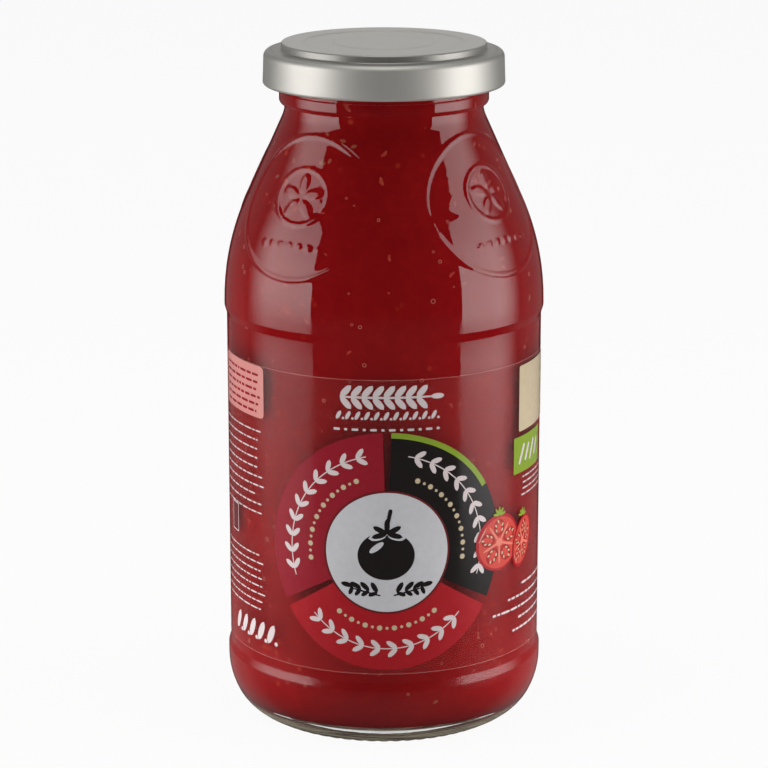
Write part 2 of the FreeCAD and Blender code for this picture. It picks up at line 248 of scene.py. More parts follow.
def glass_finish(colours):
    """Clear bottle glass with the faint waves and haze of moulded ware, and a frosted foot whose pale streaks are
    partly scuffs and partly painted glints of light in the thick glass. Lamps shine through it.
    """
    f = Finish("clear_glass")
    waves = f.bump(f.noise(55, 2) + 0.15 * f.noise(400, 2), 0.14 * MM, 0.5)
    x, y, z = f.apart(f.place)
    covered = z.step(LABEL_FOOT, LABEL_FOOT + 0.6 * MM) - z.step(LABEL_HEAD - 0.6 * MM, LABEL_HEAD)
    scuffed = 2 * (z.step(12 * MM, 15 * MM) - z.step(LABEL_FOOT, LABEL_FOOT + 0.6 * MM))
    scuffed = scuffed + z.step(96 * MM, 98 * MM) - z.step(101 * MM, 105 * MM)
    haze = 0.03 + 0.02 * f.noise(120, 3).step(0.5, 0.8) + 0.16 * covered + 0.10 * scuffed
    tint = f.blend(tuple(colours.glass), (0.97, 0.985, 0.975), f.noise(40, 2))
    glass = f.principled(
        Base_Color=f.blend(tuple(colours.glass_foot), tint, z.step(1.5 * MM, 4 * MM)),
        Roughness=haze,
        IOR=1.52,
        Transmission_Weight=1.0,
        Normal=waves,
    )
    # Partly painted light: the frosted foot's pale streaks stand for scuffs and for glints of light caught in the
    # thick glass
    lines = f.noise(1.0, 2, 0.5, f.together(x * 60, y * 60, z * 2200)).step(0.4, 0.6)
    worn = f.blend(tuple(0.25 * c for c in colours.glass_worn), tuple(colours.glass_worn), lines)
    frosted = f.principled(Base_Color=worn, Roughness=0.6, Specular_IOR_Level=0.2)
    glass = f.mixed(glass, frosted, 0.65 - 0.65 * z.step(3.2 * MM, 5.8 * MM))
    clear = f.node("ShaderNodeBsdfTransparent", inputs={"Color": (0.96, 0.975, 0.965)})
    shadow = f.node("ShaderNodeLightPath", output="Is Shadow Ray")
    diffuse = Value(f.tree, shadow.socket.node.outputs["Is Diffuse Ray"])
    return f.done(f.mixed(glass, clear, shadow.math("MAXIMUM", diffuse)))


def pulp_finish(colours):
    """Wet tomato pulp pressed against glass: cloudy deep red, coarser flesh and short fibres."""
    f = Finish("tomato_pulp")
    clouds = f.noise(38, 4, 0.6).step(0.35, 0.72)
    grain = f.noise(420, 3, 0.6).step(0.42, 0.75)
    body = f.blend(tuple(colours.pulp), tuple(colours.pulp_light), 0.45 * clouds + 0.35 * grain)
    scraps = f.node(
        "ShaderNodeTexVoronoi", {"feature": "F1"}, {"Vector": f.place, "Scale": 260.0, "Randomness": 1.0}
    )
    fibres = (1 - scraps.step(0.10, 0.24)) * f.noise(70, 2).step(0.56, 0.66)
    skin = f.blend(body, tuple(colours.fleck), 0.6 * fibres)
    surface = f.principled(
        Base_Color=skin,
        Roughness=0.45 + 0.25 * grain,
        Specular_IOR_Level=0.0,
        Normal=f.bump(grain + 2 * clouds, 0.08 * MM, 0.4),
    )
    return f.done(surface)


def bit_finish(name, base, deep):
    """Small soft bits in the pulp, uneven in colour."""
    f = Finish(name)
    shade = f.noise(900, 3, 0.6).step(0.3, 0.7)
    surface = f.principled(
        Base_Color=f.blend(tuple(deep), tuple(base), shade),
        Roughness=0.35 + 0.2 * shade,
        Specular_IOR_Level=0.2,
        Normal=f.bump(shade, 0.05 * MM, 0.5),
    )
    return f.done(surface)


def steel_finish(colours):
    """Satin lacquered tinplate: upright brushing on the skirt, a fine grain on the top, and painted shade in the
    gutter round the panel and on the skirt's sides where they turn away.
    """
    f = Finish("satin_steel")
    x, y, z = f.apart(f.place)
    turn = y.math("ARCTAN2", x)
    reach = (x * x + y * y).math("SQRT")
    side = reach.step(25.5 * MM, 27.5 * MM)
    brushed = f.noise(1.0, 3, 0.6, f.together(turn * 260, z * 120, reach * 60))
    grain = f.noise(2600, 2, 0.6)
    texture = f.node("ShaderNodeMix", {"data_type": "FLOAT"}, {0: side, 2: grain, 3: brushed})
    worn = f.noise(90, 4, 0.6).step(0.4, 0.75)
    # Painted shade: the steel's colour is darkened in the gutter round the panel and where the skirt turns away from
    # view
    painted_gutter_shade = reach.step(23.2 * MM, 24.0 * MM) * (1 - reach.step(26.0 * MM, 27.2 * MM))
    painted_grazing_shade = f.node("ShaderNodeLayerWeight", inputs={"Blend": 0.5}, output="Facing").step(0.3, 0.75)
    unshaded_steel = f.blend(tuple(0.92 * c for c in colours.steel), tuple(colours.steel), texture)
    surface = f.principled(
        # Painted shade: mixes towards a dark copy of the steel in the gutter and on the turned-away sides
        Base_Color=f.blend(unshaded_steel, tuple(0.3 * c for c in colours.steel), 0.6 * painted_gutter_shade + 0.55 * side * painted_grazing_shade),
        Metallic=0.65,
        Roughness=0.34 + 0.09 * side + 0.08 * texture + 0.04 * worn,
        Normal=f.bump(texture, 0.02 * MM, 0.35),
    )
    return f.done(surface)


def film_finish():
    """Clear film: nearly unseen, with a faint sheen and pale cut edges."""
    f = Finish("clear_film")
    z = f.apart(f.place)[2]
    edge = 1 - z.step(LABEL_FOOT, LABEL_FOOT + 0.25 * MM)
    edge = edge + z.step(LABEL_HEAD - 0.25 * MM, LABEL_HEAD)
    dust = f.noise(300, 3).step(0.55, 0.8)
    surface = f.principled(
        Base_Color=f.blend((0.55, 0.22, 0.20), (0.75, 0.5, 0.48), dust),
        Roughness=0.10 + 0.1 * dust,
        Alpha=0.015 + 0.01 * dust + 0.30 * edge,
        Normal=f.bump(f.noise(25, 2), 0.1 * MM, 0.3),
    )
    return f.done(surface)


def ink_finish(name, base):
    """Glossy printing ink under lacquer, a little uneven."""
    f = Finish(name)
    mottle = f.noise(700, 3, 0.6).step(0.3, 0.7)
    broad = f.noise(60, 2).step(0.3, 0.7)
    surface = f.principled(
        Base_Color=f.blend(tuple(0.9 * c for c in base), tuple(base), 0.5 * mottle + 0.5 * broad),
        Roughness=0.12 + 0.06 * mottle,
        Normal=f.bump(mottle, 0.01 * MM, 0.2),
    )
    return f.done(surface)


# Modelling


def deselect():
    """Leaves edit mode with nothing selected."""
    if bpy.context.mode != "OBJECT":
        bpy.ops.object.mode_set(mode="OBJECT")
    bpy.ops.object.select_all(action="DESELECT")


def activate(piece):
    """Makes a piece the only selected and active object."""
    deselect()
    piece.select_set(True)
    bpy.context.view_layer.objects.active = piece


def pick(piece, kind, chosen=lambda item: True):
    """Opens edit mode with only the vertices, edges or faces selected that the test names."""
    if bpy.context.mode != "EDIT_MESH":
        activate(piece)
        bpy.ops.object.mode_set(mode="EDIT")
    bpy.ops.mesh.select_mode(type=kind)
    bpy.ops.mesh.select_all(action="DESELECT")
    solid = bmesh.from_edit_mesh(piece.data)
    items = {"VERT": solid.verts, "EDGE": solid.edges, "FACE": solid.faces}[kind]
    for item in items:
        if chosen(item):
            item.select_set(True)
    solid.select_flush_mode()
    bmesh.update_edit_mesh(piece.data)


def merged(piece, distance=0.001 * MM):
    """Merges doubles and turns the faces outwards."""
    pick(piece, "VERT")
    bpy.ops.mesh.remove_doubles(threshold=distance)
    bpy.ops.mesh.normals_make_consistent(inside=False)


def section(node, name):
    """The front half of a CAD node's section through the axis, as an open outline of edges."""
    piece = bpy.data.objects.new(name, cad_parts[node].data.copy())
    bpy.context.collection.objects.link(piece)
    piece.data.materials.clear()
    activate(piece)
    bpy.ops.mesh.customdata_custom_splitnormals_clear()
    pick(piece, "VERT")
    bpy.ops.mesh.remove_doubles(threshold=0.001 * MM)
    bpy.ops.mesh.bisect(plane_co=(0, 0, 0), plane_no=(1, 0, 0), clear_inner=True, clear_outer=True)
    pick(piece, "VERT")
    bpy.ops.mesh.bisect(plane_co=(0, 0, 0), plane_no=(0, 1, 0), clear_outer=True)
    pick(piece, "VERT")
    bpy.ops.mesh.remove_doubles(threshold=0.002 * MM)
    bpy.ops.mesh.dissolve_limited(angle_limit=math.radians(0.3))
    return piece


def outer_run(piece):
    """Vertices of an open outline from its lower end on the axis up to its highest point."""
    solid = bmesh.from_edit_mesh(piece.data)
    ends = [v for v in solid.verts if len(v.link_edges) == 1]
    here = min(ends, key=lambda v: v.co.z)
    top = max(v.co.z for v in solid.verts)
    run = [here]
    edge = None
    while here.co.z < top - 0.001 * MM:
        edge = next(e for e in here.link_edges if e != edge)
        here = edge.other_vert(here)
        run.append(here)
    return run


def divide(piece, longest):
    """Cuts the edges of an outline so that none is longer than longest says at its middle."""
    solid = bmesh.from_edit_mesh(piece.data)
    outer = {v.index for v in outer_run(piece)}
    wanted = {}
    for edge in solid.edges:
        middle = (edge.verts[0].co + edge.verts[1].co) / 2
        is_outer = all(v.index in outer for v in edge.verts)
        cuts = math.ceil(edge.calc_length() / longest(middle, is_outer)) - 1
        if cuts > 0:
            wanted.setdefault(cuts, []).append((middle, edge.calc_length()))
    for cuts, places in wanted.items():
        marks = {(round(m.y / MM, 3), round(m.z / MM, 3), round(size / MM, 3)) for m, size in places}

        def named(edge):
            m = (edge.verts[0].co + edge.verts[1].co) / 2
            return (round(m.y / MM, 3), round(m.z / MM, 3), round(edge.calc_length() / MM, 3)) in marks

        pick(piece, "EDGE", named)
        bpy.ops.mesh.subdivide(number_cuts=cuts)


def turned(piece, steps):
    """Spins an outline once round the axis into a closed shape."""
    pick(piece, "VERT")
    bpy.ops.mesh.spin(steps=steps, angle=FULL_TURN, center=(0, 0, 0), axis=(0, 0, 1))
    merged(piece)


def smooth(piece, angle=40):
    """Smooth shading with creases kept where faces meet at more than the angle."""
    activate(piece)
    bpy.ops.object.shade_smooth_by_angle(angle=math.radians(angle))


def displaced(piece, strength, weights=None):
    """Moves the surface along its normals, by the weights where there are any."""
    deselect()
    modifier = piece.modifiers.new("relief", "DISPLACE")
    modifier.mid_level = 0
    modifier.strength = strength
    if weights:
        group = piece.vertex_groups.new(name="relief")
        for index, weight in weights.items():
            group.add([index], weight, "REPLACE")
        modifier.vertex_group = group.name
    activate(piece)
    bpy.ops.object.modifier_apply(modifier=modifier.name)


def finish(piece, material, stands_for=None):
    """Gives a finished piece its material and its body, and hides the CAD node that it stands for."""
    deselect()
    if material:
        piece.data.materials.clear()
        piece.data.materials.append(material)
    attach(piece, "root")
    if stands_for:
        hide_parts(stands_for)


# Glass


MEDALLIONS = 4
FIRST_MEDALLION = math.radians(-128)
SHOULDER_LEAN = math.radians(24.3)
MEDALLION_SQUASH = 0.935
MOTIF_RISE = 2.5 * MM
FRUIT_RADIUS = 7.0 * MM
SEPALS = 5
SEPAL_LENGTH = 4.6 * MM
SEPAL_WIDTH = 2.2 * MM
STUDS = 7
STUD_RADIUS = 0.75 * MM
STUD_PITCH = 2.6 * MM
STUD_DROP = 9.6 * MM
KNURLS = 66


def motif_distance(u, v, sizes):
    """Distance from the raised glass of a medallion, below zero on it; u and v run from its middle."""
    half = sizes.medallion_ridge / 2
    best = abs(math.hypot(u, v) - sizes.medallion_radius) - half
    v_fruit = v - MOTIF_RISE
    best = min(best, abs(math.hypot(u, v_fruit) - FRUIT_RADIUS) - half)
    for i in range(SEPALS):
        turn = math.radians(90 + i * 360 / SEPALS)
        along = u * math.cos(turn) + v_fruit * math.sin(turn) - (SEPAL_LENGTH + SEPAL_WIDTH) / 2
        across = v_fruit * math.cos(turn) - u * math.sin(turn)
        oval = math.hypot(along / (SEPAL_LENGTH / 2), across / (SEPAL_WIDTH / 2))
        best = min(best, (oval - 1) * SEPAL_WIDTH / 2)
    for i in range(STUDS):
        stud = math.hypot(u - (i - (STUDS - 1) / 2) * STUD_PITCH, v + STUD_DROP)
        best = min(best, stud - STUD_RADIUS)
    return best


def medallion_distance(place, sizes):
    """The least motif_distance of a point on the shoulder, over the medallions."""
    turn = math.atan2(place.y, place.x) - FIRST_MEDALLION
    pitch = FULL_TURN / MEDALLIONS
    off = (turn + pitch / 2) % pitch - pitch / 2
    reach = math.hypot(place.x, place.y)
    u = reach * math.sin(off)
    outward = reach * math.cos(off) - sizes.medallion_reach
    v = (place.z - sizes.medallion_height) * math.cos(SHOULDER_LEAN) - outward * math.sin(SHOULDER_LEAN)
    return motif_distance(u, v / MEDALLION_SQUASH, sizes)


def knurl_weight(place, sizes):
    """How deep the scallops are cut at a point of the foot, from 0 to 1."""
    reach = math.hypot(place.x, place.y)
    along = 1 - ((reach - sizes.knurl_radius) / (2.3 * MM)) ** 2
    if place.z > 4 * MM or along <= 0:
        return 0.0
    turn = math.atan2(place.y, place.x)
    across = math.cos(KNURLS * turn)
    return along * max(0.0, (across + 0.25) / 1.25)


class JAR_OT_glass(bpy.types.Operator):
    """Turns the glass from its CAD section and raises the medallions and the knurled foot on it"""

    bl_idname = "tomato_jar.glass"
    bl_label = "Glass jar"

    def execute(self, context):
        sizes = context.scene.jar_sizes
        piece = section("glass_jar", "jar_glass")

        def longest(place, is_outer):
            if not is_outer:
                return 12 * MM
            if abs(place.z - sizes.medallion_height) < 17.4 * MM:
                return 0.58 * MM
            if place.z < 4 * MM and abs(math.hypot(place.x, place.y) - sizes.knurl_radius) < 3 * MM:
                return 0.7 * MM
            return 5 * MM

        for cad_middle, middle in ((17 * MM, sizes.lower_step), (97 * MM, sizes.upper_step)):
            pick(piece, "VERT", lambda v: v.co.y < -36.8 * MM and abs(v.co.z - cad_middle) < 2.8 * MM)
            bpy.ops.transform.resize(value=(1, 1, 0.45), center_override=(0, 0, cad_middle))
            bpy.ops.transform.translate(value=(0, 0, middle - cad_middle))
        divide(piece, longest)
        turned(piece, KNURLS * 4)

        def detailed(face):
            place = face.calc_center_median()
            if place.z < 4 * MM:
                return knurl_weight(place, sizes) > 0 or face.normal.z < -0.2 and place.z < 2 * MM and (
                    abs(place.xy.length - sizes.knurl_radius) < 2.4 * MM
                )
            if abs(place.z - sizes.medallion_height) > 17.6 * MM or face.normal.dot(place * Vector((1, 1, 0))) < 0:
                return False
            return medallion_distance(place, sizes) < 0.64 * MM

        pick(piece, "FACE", detailed)
        bpy.ops.mesh.subdivide(number_cuts=1)
        deselect()
        raised = {}
        cut = {}
        for vertex in piece.data.vertices:
            place = vertex.co
            if place.z < 4 * MM:
                weight = knurl_weight(place, sizes)
                if weight > 0 and vertex.normal.z < 0:
                    cut[vertex.index] = weight
            elif abs(place.z - sizes.medallion_height) < 18 * MM and vertex.normal.dot(place * Vector((1, 1, 0))) > 0:
                near = 0.5 - medallion_distance(place, sizes) / sizes.relief_edge
                if near > 0:
                    near = min(near, 1.0)
                    raised[vertex.index] = near * near * (3 - 2 * near)
        displaced(piece, sizes.relief, raised)
        piece.vertex_groups.clear()
        displaced(piece, -sizes.knurl_depth, cut)
        piece.vertex_groups.clear()
        smooth(piece)
        finish(piece, glass_finish(context.scene.jar_colours), "glass_jar")
        return {"FINISHED"}


# Contents


class JAR_OT_pulp(bpy.types.Operator):
    """Turns the pulp from its CAD section and lets it reach just into the glass"""

    bl_idname = "tomato_jar.pulp"
    bl_label = "Tomato pulp"

    def execute(self, context):
        piece = section("tomato_pulp", "jar_pulp")
        divide(piece, lambda place, is_outer: 3 * MM)
        turned(piece, 192)
        displaced(piece, context.scene.jar_sizes.pulp_overlap)
        smooth(piece)
        finish(piece, pulp_finish(context.scene.jar_colours), "tomato_pulp")
        return {"FINISHED"}


def scattered(name, shape, count, chance, spread, low, high, sink):
    """Copies of a small shape laid flat on the pulp's side, in loose groups, joined into one piece."""
    pulp = bpy.data.objects["jar_pulp"].data
    sides = [f for f in pulp.polygons if abs(f.normal.z) < 0.8 and 12 * MM < f.center.z < FILL_LEVEL - 4 * MM]
    areas = [f.area for f in sides]
    copies = []
    groups = chance.choices(sides, areas, k=max(1, count // 5))
    for _ in range(count):
        if chance.random() < 0.55:
            middle = chance.choice(groups).center + Vector([chance.gauss(0, spread) for _ in range(3)])
        else:
            middle = chance.choices(sides, areas)[0].center + Vector([chance.gauss(0, 2 * MM) for _ in range(3)])
        found, place, normal, _ = bpy.data.objects["jar_pulp"].closest_point_on_mesh(middle)
        if not found or abs(normal.z) > 0.8:
            continue
        copy = shape.copy()
        copy.data = shape.data.copy()
        bpy.context.collection.objects.link(copy)
        size = chance.uniform(low, high)
        turn = normal.to_track_quat("Z", "Y").to_matrix().to_4x4()
        spin = Matrix.Rotation(chance.uniform(0, FULL_TURN), 4, "Z")
        lift = Matrix.Translation(place - sink * size * normal)
        copy.data.transform(lift @ turn @ spin @ Matrix.Diagonal((size, size, size, 1)))
        copies.append(copy)
    deselect()
    for copy in copies:
        copy.select_set(True)
    bpy.context.view_layer.objects.active = copies[0]
    bpy.ops.object.join()
    piece = bpy.context.view_layer.objects.active
    piece.name = name
    bpy.data.objects.remove(shape)
    return piece


class JAR_OT_bits(bpy.types.Operator):
    """Lays seeds, scraps of flesh and small bubbles against the glass"""

    bl_idname = "tomato_jar.bits"
    bl_label = "Seeds, flecks and bubbles"

    def execute(self, context):
        sizes = context.scene.jar_sizes
        colours = context.scene.jar_colours
        chance = random.Random(7)
        deselect()
        bpy.ops.mesh.primitive_uv_sphere_add(segments=10, ring_count=6, radius=0.5)
        seed = bpy.context.object
        bpy.ops.object.mode_set(mode="EDIT")
        bpy.ops.transform.resize(value=(1.0, 0.62, 0.22))
        pick(seed, "VERT", lambda v: v.co.x > 0.3)
        bpy.ops.transform.resize(value=(1.25, 0.5, 0.8))
        deselect()
        seeds = scattered("tomato_seeds", seed, 34, chance, 6 * MM, 0.7 * sizes.seed, sizes.seed, 0.02)
        smooth(seeds, 60)
        finish(seeds, bit_finish("tomato_seed", colours.seed, [0.6 * c for c in colours.seed]))

        # The bubbles are opaque pale rings; their colour is a painted highlight for light on the rims of clear bubbles
        deselect()
        bpy.ops.mesh.primitive_torus_add(
            major_segments=12, minor_segments=5, major_radius=0.42, minor_radius=0.09
        )
        bubble = bpy.context.object
        bubbles = scattered("pulp_bubbles", bubble, 260, chance, 3 * MM, 0.3 * sizes.bubble, sizes.bubble, 0.0)
        smooth(bubbles, 60)
        finish(bubbles, bit_finish("pulp_bubble", colours.bubble, [0.6 * c for c in colours.bubble]))

        deselect()
        bpy.ops.mesh.primitive_ico_sphere_add(subdivisions=2, radius=0.5)
        fleck = bpy.context.object
        bpy.ops.object.mode_set(mode="EDIT")
        bpy.ops.transform.resize(value=(1.0, 0.4, 0.07))
        pick(fleck, "VERT", lambda v: v.co.x < -0.2)
        bpy.ops.transform.translate(value=(0, 0.16, 0))
        deselect()
        flecks = scattered("pulp_flecks", fleck, 150, chance, 8 * MM, 0.3 * sizes.fleck, sizes.fleck, 0.0)
        smooth(flecks, 60)
        finish(flecks, bit_finish("pulp_fleck", colours.fleck, colours.pulp_light))
        return {"FINISHED"}


# Lid


class JAR_OT_lid(bpy.types.Operator):
    """Gives the lid its satin steel"""

    bl_idname = "tomato_jar.lid"
    bl_label = "Steel lid"

    def execute(self, context):
        piece = section("lid", "steel_lid")
        divide(piece, lambda place, is_outer: 2 * MM)
        turned(piece, 264)
        smooth(piece)
        finish(piece, steel_finish(context.scene.jar_colours), "lid")
        return {"FINISHED"}


# Label


PRINT = []
STAMPS = {}


def cut_stamps():
    """Models the flat shapes that the small prints are copied from, each a millimetre across."""
    STAMPS.clear()
    deselect()
    bpy.ops.mesh.primitive_plane_add(size=MM)
    STAMPS["dash"] = bpy.context.object
    bpy.ops.object.mode_set(mode="EDIT")
    bpy.ops.mesh.bevel(offset=0.22 * MM, segments=3, affect="VERTICES")
    for name, vertices in (("dot", 20), ("round", 96), ("leaf", 16)):
        deselect()
        bpy.ops.mesh.primitive_circle_add(vertices=vertices, radius=0.5 * MM, fill_type="NGON")
        STAMPS[name] = bpy.context.object
    pick(STAMPS["leaf"], "VERT", lambda v: abs(v.co.x) > 0.42 * MM)
    bpy.ops.transform.resize(value=(1.0, 0.45, 1), center_override=(0, 0, 0))
    pick(STAMPS["leaf"], "VERT")
    bpy.ops.transform.translate(value=(0.5 * MM, 0, 0))
    deselect()


def placing(across, height, turn=0.0, long=1.0, wide=1.0):
    """Puts a flat shape on the label. Places and sizes in millimetres, the turn in degrees."""
    return (
        Matrix.Translation((across * MM, height * MM, 0))
        @ Matrix.Rotation(math.radians(turn), 4, "Z")
        @ Matrix.Diagonal((long, wide, 1, 1))
    )


def printed(shape, place, layer, ink):
    """Lays a flat shape at its place, on its layer and in its ink."""
    step = bpy.context.scene.jar_sizes.ink_step
    shape.data.transform(Matrix.Translation((0, 0, (layer + 1) * step)) @ place)
    shape.data.materials.append(bpy.data.materials[ink])
    PRINT.append(shape)


def stamped(kind, across, height, long, wide, layer, ink, turn=0.0, base=Matrix.Identity(4)):
    """Copies a stamp to a place on the label."""
    shape = bpy.data.objects.new(kind, STAMPS[kind].data.copy())
    bpy.context.collection.objects.link(shape)
    printed(shape, base @ placing(across, height, turn, long, wide), layer, ink)


def field(across, height, width, tall, layer, ink, corner):
    """A plain field with rounded corners."""
    deselect()
    bpy.ops.mesh.primitive_plane_add(size=MM)
    shape = bpy.context.object
    bpy.ops.object.mode_set(mode="EDIT")
    bpy.ops.transform.resize(value=(width, tall, 1))
    bpy.ops.mesh.bevel(offset=corner * MM, segments=4, affect="VERTICES")
    deselect()
    printed(shape, placing(across, height), layer, ink)


def band(across, height, inner, outer, start, sweep, layer, ink):
    """Part of a flat ring, from a start angle over a sweep, anticlockwise from the right."""
    deselect()
    bpy.ops.mesh.primitive_plane_add(size=MM)
    shape = bpy.context.object
    pick(shape, "VERT", lambda v: v.co.y > 0)
    bpy.ops.mesh.delete(type="VERT")
    pick(shape, "VERT")
    bpy.ops.transform.resize(value=(outer - inner, 1, 1))
    bpy.ops.transform.translate(value=((outer + inner) / 2 * MM, MM / 2, 0))
    steps = max(2, math.ceil(abs(sweep) / 2))
    bpy.ops.mesh.spin(steps=steps, angle=math.radians(sweep), center=(0, 0, 0), axis=(0, 0, -1))
    deselect()
    printed(shape, placing(across, height, start), layer, ink)


def garland(across, height, radius, start, end, count, size, layer, ink):
    """Leaf pairs on a thin stem along an arc, clockwise from a start to an end angle."""
    band(across, height, radius - 0.13, radius + 0.13, end, start - end, layer, ink)
    for i in range(count):
        angle = start + (end - start) * (i + 0.4) / count
        x = across + radius * math.cos(math.radians(angle))
        y = height + radius * math.sin(math.radians(angle))
        for side in (-1, 1):
            stamped("leaf", x, y, size, 0.4 * size, layer + 1, ink, angle - 90 + side * 40)


def berries(across, height, radius, start, end, count, layer, ink):
    """Dots, large and small by turns, along an arc."""
    for i in range(count):
        angle = math.radians(start + (end - start) * (i + 0.5) / count)
        size = (1.25, 0.7)[i % 2]
        x, y = across + radius * math.cos(angle), height + radius * math.sin(angle)
        stamped("dot", x, y, size, size, layer, ink)


def print_badge(sizes):
    """Round badge: three fields in a ring and a fruit with leaves on a pale disc."""
    across = 0.7
    height = sizes.badge_height / MM
    disc = sizes.badge_disc / MM
    outer = sizes.badge_radius / MM
    for start, ink, row, dots in (
        (-28, "ink_black", "ink_pale", "ink_beige"),
        (92, "ink_crimson", "ink_pale", "ink_beige"),
        (212, "ink_red", "ink_pale", "ink_beige"),
    ):
        band(across, height, disc + 0.5, outer, start, 116, 1, ink)
        garland(across, height, 23.3, start + 106, start + 10, 10, 3.0, 2, row)
        berries(across, height, 18.3, start + 98, start + 18, 15, 2, dots)
    band(across, height, outer - 1.3, outer, 30, 58, 2, "ink_green")
    stamped("round", across, height, 2 * disc + 1.0, 2 * disc + 1.0, 2, "ink_maroon")
    stamped("round", across, height, 2 * disc, 2 * disc, 3, "ink_grey")
    stamped("round", across - 0.2, height - 0.8, 13.2, 11.6, 4, "ink_black")
    stamped("dot", across - 2.4, height + 1.2, 4.0, 1.4, 5, "ink_grey", 38)
    for turn in (90, 28, 152, -14, 194):
        stamped("leaf", across, height + 4.4, 4.4, 1.9, 6, "ink_grey", turn)
        stamped("leaf", across, height + 4.5, 3.7, 1.3, 7, "ink_black", turn)
    stamped("dash", across + 0.5, height + 8.6, 0.9, 3.6, 8, "ink_black", -12)
    for side in (-1, 1):
        stamped("dash", across + side * 4.6, height - 9.6, 6.4, 0.4, 4, "ink_black", side * 14)
        for i in range(4):
            turn = 90 - side * (30 + 16 * i)
            along = 2.2 + 1.9 * i
            stamped("leaf", across + side * along, height - 10.2 + 0.25 * along, 2.9, 1.2, 4, "ink_black", turn)
            stamped(
                "leaf", across + side * along, height - 10.2 + 0.25 * along, 2.3, 1.0, 4, "ink_black", turn - side * 80
            )


def print_title():
    """Sprig, a row of leaves and a broken rule above the badge."""
    middle = 0.6
    stamped("dash", middle, 86.3, 21.6, 0.5, 1, "ink_pale")
    for i in range(8):
        place = middle - 10.6 + 2.5 * i
        stamped("leaf", place, 86.3, 3.7, 1.5, 2, "ink_pale", 48)
        stamped("leaf", place, 86.3, 3.7, 1.5, 2, "ink_pale", -48)
    stamped("leaf", middle + 10.2, 86.3, 3.2, 1.3, 2, "ink_pale")
    for i in range(11):
        place = -10.4 + 2.2 * i
        stamped("leaf", place - 0.6, 81.0, 2.3, 0.9, 1, "ink_pale", 62)
        stamped("dot", place + 1.0, 81.3, 0.6, 0.6, 1, "ink_pale")
    for i in range(12):
        stamped("dash", -10.9 + 2.13 * i, 78.7, (1.5, 0.7)[i % 2], 0.55, 1, "ink_pale")


def print_tomato(across, height, radius, squash, turn, layer):
    """A cut tomato: skin, flesh, chambers with seeds, a ribbed core and a stem."""
    base = placing(across, height, turn, 1, squash)

    def put(kind, u, v, long, wide, rise, ink, angle=0.0):
        stamped(kind, radius * u, radius * v, radius * long, radius * wide, layer + rise, ink, angle, base)

    put("round", 0, 0, 2.0, 2.0, 0, "ink_red")
    put("round", 0.02, -0.02, 1.80, 1.80, 1, "ink_flesh")
    for i in range(5):
        angle = 90 + 72 * i
        x, y = math.cos(math.radians(angle)), math.sin(math.radians(angle))
        put("leaf", 0.20 * x, 0.20 * y, 0.64, 0.50, 2, "ink_gel", angle)
        put("leaf", 0.30 * x, 0.30 * y, 0.46, 0.20, 3, "ink_flesh", angle)
        for along, side in ((0.42, 0.13), (0.42, -0.13), (0.60, 0.15), (0.60, -0.15), (0.74, 0.05)):
            put("dot", along * x - side * y, along * y + side * x, 0.12, 0.065, 4, "ink_beige", angle + 200 * side)
        rib = math.radians(angle + 36)
        put("leaf", 0.06 * math.cos(rib), 0.06 * math.sin(rib), 0.72, 0.09, 4, "ink_core", angle + 36)
    put("dot", 0, 0, 0.30, 0.30, 5, "ink_core")
    put("leaf", -0.90, 0.12, 0.62, 0.06, 5, "ink_pink", 58)
    stem = Matrix.Translation((across * MM, (height + radius * (0.9 if turn == 0 else 0.98)) * MM, 0))
    for i in range(5):
        stamped("leaf", 0, 0, 0.30 * radius, 0.09 * radius, layer + 6, "ink_green", 12 + 39 * i, stem)


def print_sides(chance):
    """Plain fields and fine broken rules at both sides."""
    field(47.0, 81.4, 19.4, 15.8, 1, "ink_beige", 0.5)
    field(43.0, 67.9, 15.6, 8.8, 1, "ink_green", 0.3)
    for i in range(4):
        stamped("dash", 38.8 + 2.8 * i, 67.9, 5.2 - 0.8 * (i % 2), 0.9, 2, "ink_pale", 62)
    field(-41.6, 84.0, 20.6, 12.4, 1, "ink_pink", 1.2)
    rows = [(-50.5, -32.6 - 0.7 * (i % 3), 88.0 - 1.75 * i, 0.6, "ink_crimson") for i in range(6)]
    rows += [(-52.0, -31.5 - chance.uniform(0, 4), 74.6 - 2.2 * i, 0.36, "ink_pale") for i in range(10)]
    rows += [(-52.0, -30.6 - chance.uniform(0, 3), 44.4 - 1.9 * i, 0.34, "ink_pale") for i in range(8)]
    rows += [(38.8 + chance.uniform(0, 1), 52.0, 62.2 - 1.45 * i, 0.38, "ink_pale") for i in range(4)]
    rows += [(left, 53.0, 36.0 - 2.7 * i, 0.55, "ink_pale") for i, left in enumerate((39.5, 33.5, 28.0, 38.0, 35.5))]
    for left, right, height, tall, ink in rows:
        at = left
        while at < right - 0.5:
            width = min(chance.uniform(0.8, 3.2), right - at)
            stamped("dash", at + width / 2, height, width, tall, 2, ink)
            at += width + 0.45
    field(-45.6, 51.0, 4.0, 7.0, 1, "ink_pale", 0.3)
    field(-45.6, 51.0, 3.5, 6.5, 2, "ink_maroon", 0.2)
    for i in range(5):
        stamped("leaf", -45.0 + 3.6 * i, 23.4, 5.4, 1.9, 1, "ink_pale", 66)
        stamped("dot", -42.2 + 3.6 * i, 23.8, 1.0, 1.0, 1, "ink_pale")


def wrapped(piece):
    """Cuts a flat print into narrow upright strips and lays it round the film."""
    edges = [vertex.co.x for vertex in piece.data.vertices]
    step = 1.2 * MM
    for i in range(math.ceil(min(edges) / step), math.floor(max(edges) / step) + 1):
        pick(piece, "VERT")
        bpy.ops.mesh.bisect(plane_co=(i * step, 0, 0), plane_no=(1, 0, 0))
    pick(piece, "FACE", lambda face: face.normal.z < 0)
    bpy.ops.mesh.flip_normals()
    deselect()
    for vertex in piece.data.vertices:
        turn = vertex.co.x / FILM_RADIUS
        reach = FILM_RADIUS + vertex.co.z
        vertex.co = (reach * math.sin(turn), -reach * math.cos(turn), vertex.co.y)


